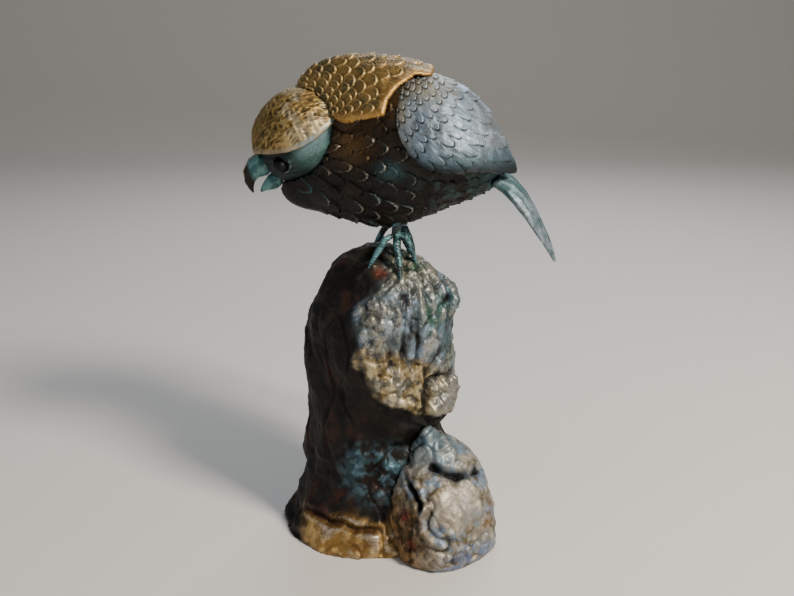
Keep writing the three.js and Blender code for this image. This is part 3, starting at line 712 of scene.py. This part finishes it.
def carve_column(points):
    """The column's relief in mm, and how much of each point is on its raised front panel, which is also
    painted lighter as the lit face against the dark rock beside it, in the pebbled patch low on its
    front, and in the wavy groove over its foot."""
    x, y, z = points.T
    front = smooth_step(12, -6, y)
    heights = [-112, -104, -97, -90, -80, -70, -60, -45, -30, -14]
    edge = np.interp(z, heights, [40, 26, 6, -9, -16, -20, -23, -22, -21, -8])
    beyond = x - edge + 5.0 * rubble(points, 10, 3, 4)
    # the raised front panel; its lighter colours in build_column are painted light, the lit face of the rock
    lit_panel = smooth_step(-3.5, 3.5, beyond) * front * smooth_step(-112, -104, z)
    relief = 1.5 * rubble(points, 16, 1, 3) + 1.1 * crag(points * [1, 1, 0.6], 12, 31)
    relief = relief + 1.3 * lit_panel - 1.3 * creases(points * [1, 1, 0.5], 18, 8)
    relief = relief + 1.1 * lit_panel * (crag(points * [1, 1, 0.6], 5.5, 14, 4) - creases(points, 9, 33))

    strata = smooth_step(2, 10, x) * smooth_step(-40, -32, z + 0.3 * x) * smooth_step(-6, -14, z) * front
    ribs = np.abs(np.sin(0.3 * (x + 0.6 * y) + 1.2 * lumps(points, 11, 5)))
    relief = relief + strata * (2.2 * ribs - 1.4)
    spine = x - np.interp(z, [-100, -60, -20], [6, 3, 5])
    relief = relief - 1.6 * bell(spine, 1.2) * smooth_step(-75, -60, z) * front
    second = x - 12 - 2.5 * lumps(points, 12, 6)
    relief = relief - 1.5 * bell(second, 1.1) * front * smooth_step(-64, -56, z) * smooth_step(-20, -28, z)
    relief = relief - 2.4 * bell(from_line(points, [(10, -33, -46), (20, -27, -40), (31, -15, -31)]), 1.8)

    relief = relief + knobs_on(points, [
        (-23.7, -36, -32.6, 4.2, 1.4), (-14.7, -38, -28.8, 3.8, 1.3), (-15.9, -40.5, -38, 3.4, 1.5),
        (-9.5, -41, -40.5, 4.0, 1.7), (-4.3, -38.5, -34.7, 2.8, 1.0), (-20, -40, -46, 3.2, 1.0),
        (-12, -40, -57, 7, 1.5), (-3, -40, -75, 8, 1.7),
    ])
    off_block = np.abs((points - [29, -22, -94]) @ np.array(Matrix.Rotation(0.5, 3, "Z")))
    from_block = (off_block**4).sum(axis=1) ** 0.25 + 2.5 * rubble(points, 8, 52, 3)
    block = smooth_step(13.5, 9.5, from_block)
    relief = relief + block * (3.2 + 1.2 * crag(points, 8, 53, 4)) - 2.4 * bell(from_block - 15, 1.7) * front
    relief = relief - 3.0 * near(points, np.array([5, -40, -101]), 9)
    relief = relief - 2.4 * near(points, np.array([15, -36, -99]), 7)

    pebbled = near(points, np.array([-13, -38, -137]), 32) * smooth_step(-110, -118, z)
    pebbles = 2.6 * np.abs(lumps(points, 6, 17)) + 1.2 * np.abs(lumps(points, 3, 18)) - 0.9
    relief = relief + pebbled * pebbles
    groove = from_line(points, [
        (-56, -28, -170), (-49, -37.6, -169), (-42, -42, -172),
        (-34, -46, -170), (-26, -48, -173), (-12, -51, -172),
    ])
    relief = relief - 2.2 * bell(groove, 1.8) + 1.3 * bell(groove - 4, 1.8)
    relief = relief - 1.8 * bell(from_line(points, [(-9, -56, -186), (-10, -49, -172), (-7, -44, -158)]), 1.5)
    return relief, lit_panel, pebbled, bell(groove, 3.0)


def build_column():
    piece = fine_mesh("rock_column_rough", [cad_nodes["rock_column"].data], 1.75, 8)

    hollow_top = -18.0  # the hollow inside ends below this height, in mm
    seen_to = 14.0  # behind this the rock keeps its coarser cells

    def outside(points, normals):
        out = (points[:, 0] - ROCK_X) * normals[:, 0] + points[:, 1] * normals[:, 1]
        return (out > 0) | (points[:, 2] > hollow_top)

    split_faces(piece, lambda points, normals: outside(points, normals) & (points[:, 1] < seen_to))
    points, normals = surface(piece)
    x, y, z = points.T
    up = z + ROCK_HEIGHT
    relief, lit_panel, pebbled, wave = carve_column(points)
    push(piece, normals, relief * outside(points, normals) * smooth_step(0, 3, up))
    high = relief / 3
    skirt = smooth_step(27, 12, up + 7 * rubble(points, 12, 6, 3))
    skirt = skirt * smooth_step(-66, -50, x) * smooth_step(0, -22, y)
    low_panel = smooth_step(-48, -70, z + 0.5 * x + 18 * rubble(points, 14, 4, 4))
    crest = smooth_step(-22, -8, z)
    colour = washes(
        len(x), "130f0c",
        (patches(points, 22, 5, 0.35) * 0.7, "231a12"),
        (patches(points * [1, 1, 0.6], 10, 6, 0.12) * (x < 0) * 0.5, "482517"),
        (crest * patches(points, 7, 9, 0.5), "36352a"),
        # painted light: the front panel is painted lighter as the lit face, against the dark rock beside it
        (lit_panel, "5c676e"),
        (lit_panel * patches(points, 7, 15, 0.4) * (1 - low_panel), "8195a6"),
        (lit_panel * smooth_step(-30, -14, z), "6f6f5f"),
        (lit_panel * low_panel, "7c6a44"),
        (lit_panel * low_panel * patches(points, 4, 16, 0.45), "b5a57d"),
        (0.8 * lit_panel * smooth_step(22, 32, x) * smooth_step(-84, -70, z), "3b5a62"),
        (0.9 * lit_panel * near(points, np.array([30, -21, -95]), 22), "46525c"),
        (0.8 * lit_panel * near(points, np.array([-15, -39, -36]), 14), "625c48"),
        (0.8 * lit_panel * patches(points, 5, 19, 0.35), "3a4043"),
        (0.9 * lit_panel * smooth_step(0.3, -0.25, high), "211b15"),
        (near(points, np.array([23, -26, -38]), 19) * patches(points, 4, 20, 0.65), "2c5548"),
        (near(points, np.array([12, -14, -8]), 22) * patches(points, 5, 21, 0.6), "31503f"),
        (0.8 * near(points, np.array([-9, -26, -13]), 8), "6b2f1a"),
        (0.8 * pebbled * smooth_step(-0.1, 0.5, high), "37606b"),
        (0.7 * pebbled * patches(points, 4, 23, 0.3), "66899a"),
        (skirt, "927038"),
        (skirt * patches(points, 4, 24, 0.45), "c1a063"),
        (0.6 * skirt * patches(points, 7, 26, 0.3), "5a3c1a"),
        (0.8 * wave * smooth_step(34, 26, up), "43210f"),
        (0.8 * near(points, np.array([-36, -38, -157]), 11) * patches(points, 5, 27, 0.6), "57291a"),
    )
    raised = 0.3 + 0.42 * np.minimum(high, 0.7) + 0.08 * lit_panel + 0.2 * skirt
    mark(piece, raised, 0.2 * patches(points, 14, 25, 0.3) * (1 - lit_panel), colour)
    finish_piece(piece, rock_patina, "bronze_rock", "rock_column")


def carve_boulder(points):
    """The boulder's relief in mm, and how much of each point is on its smooth disc, in its crevice and in
    its cleft."""
    from_disc = np.linalg.norm(points - [38.0, -62.0, -149.0], axis=1)
    disc = smooth_step(18, 12, from_disc)
    rough = 1.4 * rubble(points, 14, 21, 3) + 1.1 * crag(points, 9, 41, 4) - 1.0 * creases(points, 15, 28)
    relief = rough * (1 - 0.6 * disc) + 0.25 * disc * crag(points, 4, 45, 3)
    relief = relief + 0.5 * bell(from_disc - 17, 2.2) - 0.4 * bell(from_disc - 20.5, 2.0)
    relief = relief + 3.2 * knob(points, np.array([37, -36, -126]), 16)
    crevice = from_line(points, [
        (22, -46, -131), (28, -47, -135), (37, -47, -137), (44, -43, -139), (51, -38, -136),
    ])
    relief = relief - 3.6 * bell(crevice, 2.2 + 0.8 * lumps(points, 6, 3))
    cleft = from_line(points, [(1, -36, -132), (5, -47, -137), (11, -56, -143), (14, -62, -150)])
    relief = relief - 2.6 * bell(cleft, 1.3) + 1.2 * bell(cleft - 3.6, 1.4)
    ridge = from_line(points, [
        (18, -62, -149), (14, -66, -155), (14.5, -69, -162), (21, -72, -167), (27, -73, -169),
    ])
    relief = relief + 2.6 * bell(ridge, 1.9) - 1.4 * bell(ridge - 4.2, 1.3)
    edge = from_line(points, [(8, -54, -149), (9, -62, -159), (7, -65, -171), (9, -67, -184)])
    relief = relief - 2.2 * bell(edge, 1.6)
    relief = relief + knobs_on(points, [
        (25, -73, -181, 4.0, 1.3), (31, -73, -178, 3.2, 1.4), (37, -70, -180, 4.2, 1.2),
        (44, -65.5, -177, 3.4, 1.5), (49, -60.5, -178, 4.0, 1.2), (54, -54, -175, 3.6, 1.3),
        (56, -48, -170, 3.0, 1.0), (20, -72, -176, 3.6, 1.2), (11, -66, -178, 3.5, 1.4),
        (5, -60, -168, 3.4, 1.3), (5, -57, -160, 3.0, 1.1), (28, -68, -160, 4.5, 1.0),
        (46, -41, -127, 5, 1.5), (30, -38, -120, 5, 1.3), (41, -33, -119, 4, 1.2),
    ])
    return relief, disc, bell(crevice, 3.6), bell(cleft, 2.2)


def build_boulder():
    piece = fine_mesh("rock_boulder_rough", [cad_nodes["rock_boulder"].data], 0.75, 14)
    points, normals = surface(piece)
    x, _, z = points.T
    up = z + ROCK_HEIGHT
    relief, disc, crevice, cleft = carve_boulder(points)
    push(piece, normals, relief * smooth_step(0, 3, up))
    high = relief / 3
    warm = smooth_step(24, 6, x) * smooth_step(-144, -160, z)
    colour = washes(
        len(x), "948b7c",
        (patches(points, 11, 31, 0.45), "8594a3"),
        (patches(points, 6, 32, 0.3), "6d6248"),
        (0.7 * disc, "a39a8c"),
        (0.6 * patches(points, 4, 35, 0.35), "c2bbab"),
        (near(points, np.array([20, -32, -122]), 26), "5f7f8c"),
        (0.8 * near(points, np.array([22, -36, -126]), 26) * patches(points, 5, 37, 0.45), "b5b9b4"),
        (0.8 * warm, "8a642f"),
        (warm * patches(points, 5, 34, 0.45), "46351a"),
        (0.9 * crevice, "26405c"),
        (0.8 * cleft, "2a2018"),
        (0.7 * smooth_step(-0.1, -0.6, high), "2b241b"),
        (0.9 * near(points, np.array([5.5, -58, -157.5]), 5), "6d1f18"),
        (0.9 * near(points, np.array([9, -66, -173]), 5.5), "7a231b"),
        (0.7 * smooth_step(16, 6, up) * smooth_step(22, 34, x) * patches(points, 5, 36, 0.7), "7086ad"),
        (0.5 * near(points, np.array([52, -45, -165]), 12), "8a5640"),
    )
    raised = 0.42 + 0.3 * np.minimum(high, 0.4) + 0.06 * disc - 0.3 * crevice - 0.3 * cleft
    mark(piece, raised, 0 * x, colour)
    finish_piece(piece, rock_patina, "bronze_rock", "rock_boulder")


build_camera()
build_floor()
build_lights()
build_body()
build_mantle()
build_crown()
build_face()
build_beak("upper_beak")
build_beak("lower_beak")
for side_name in ("left", "right"):
    build_eye(side_name)
    build_wing(side_name)
    build_leg(side_name)
build_tail()
build_column()
build_boulder()

for node_name, node in cad_nodes.items():
    if node_name.endswith(("_pin", "_stud", "_washer", "_nut")):
        node.data.materials.clear()
        node.data.materials.append(shade_dark_stud_brass if node_name.endswith("_stud") else pin_brass)
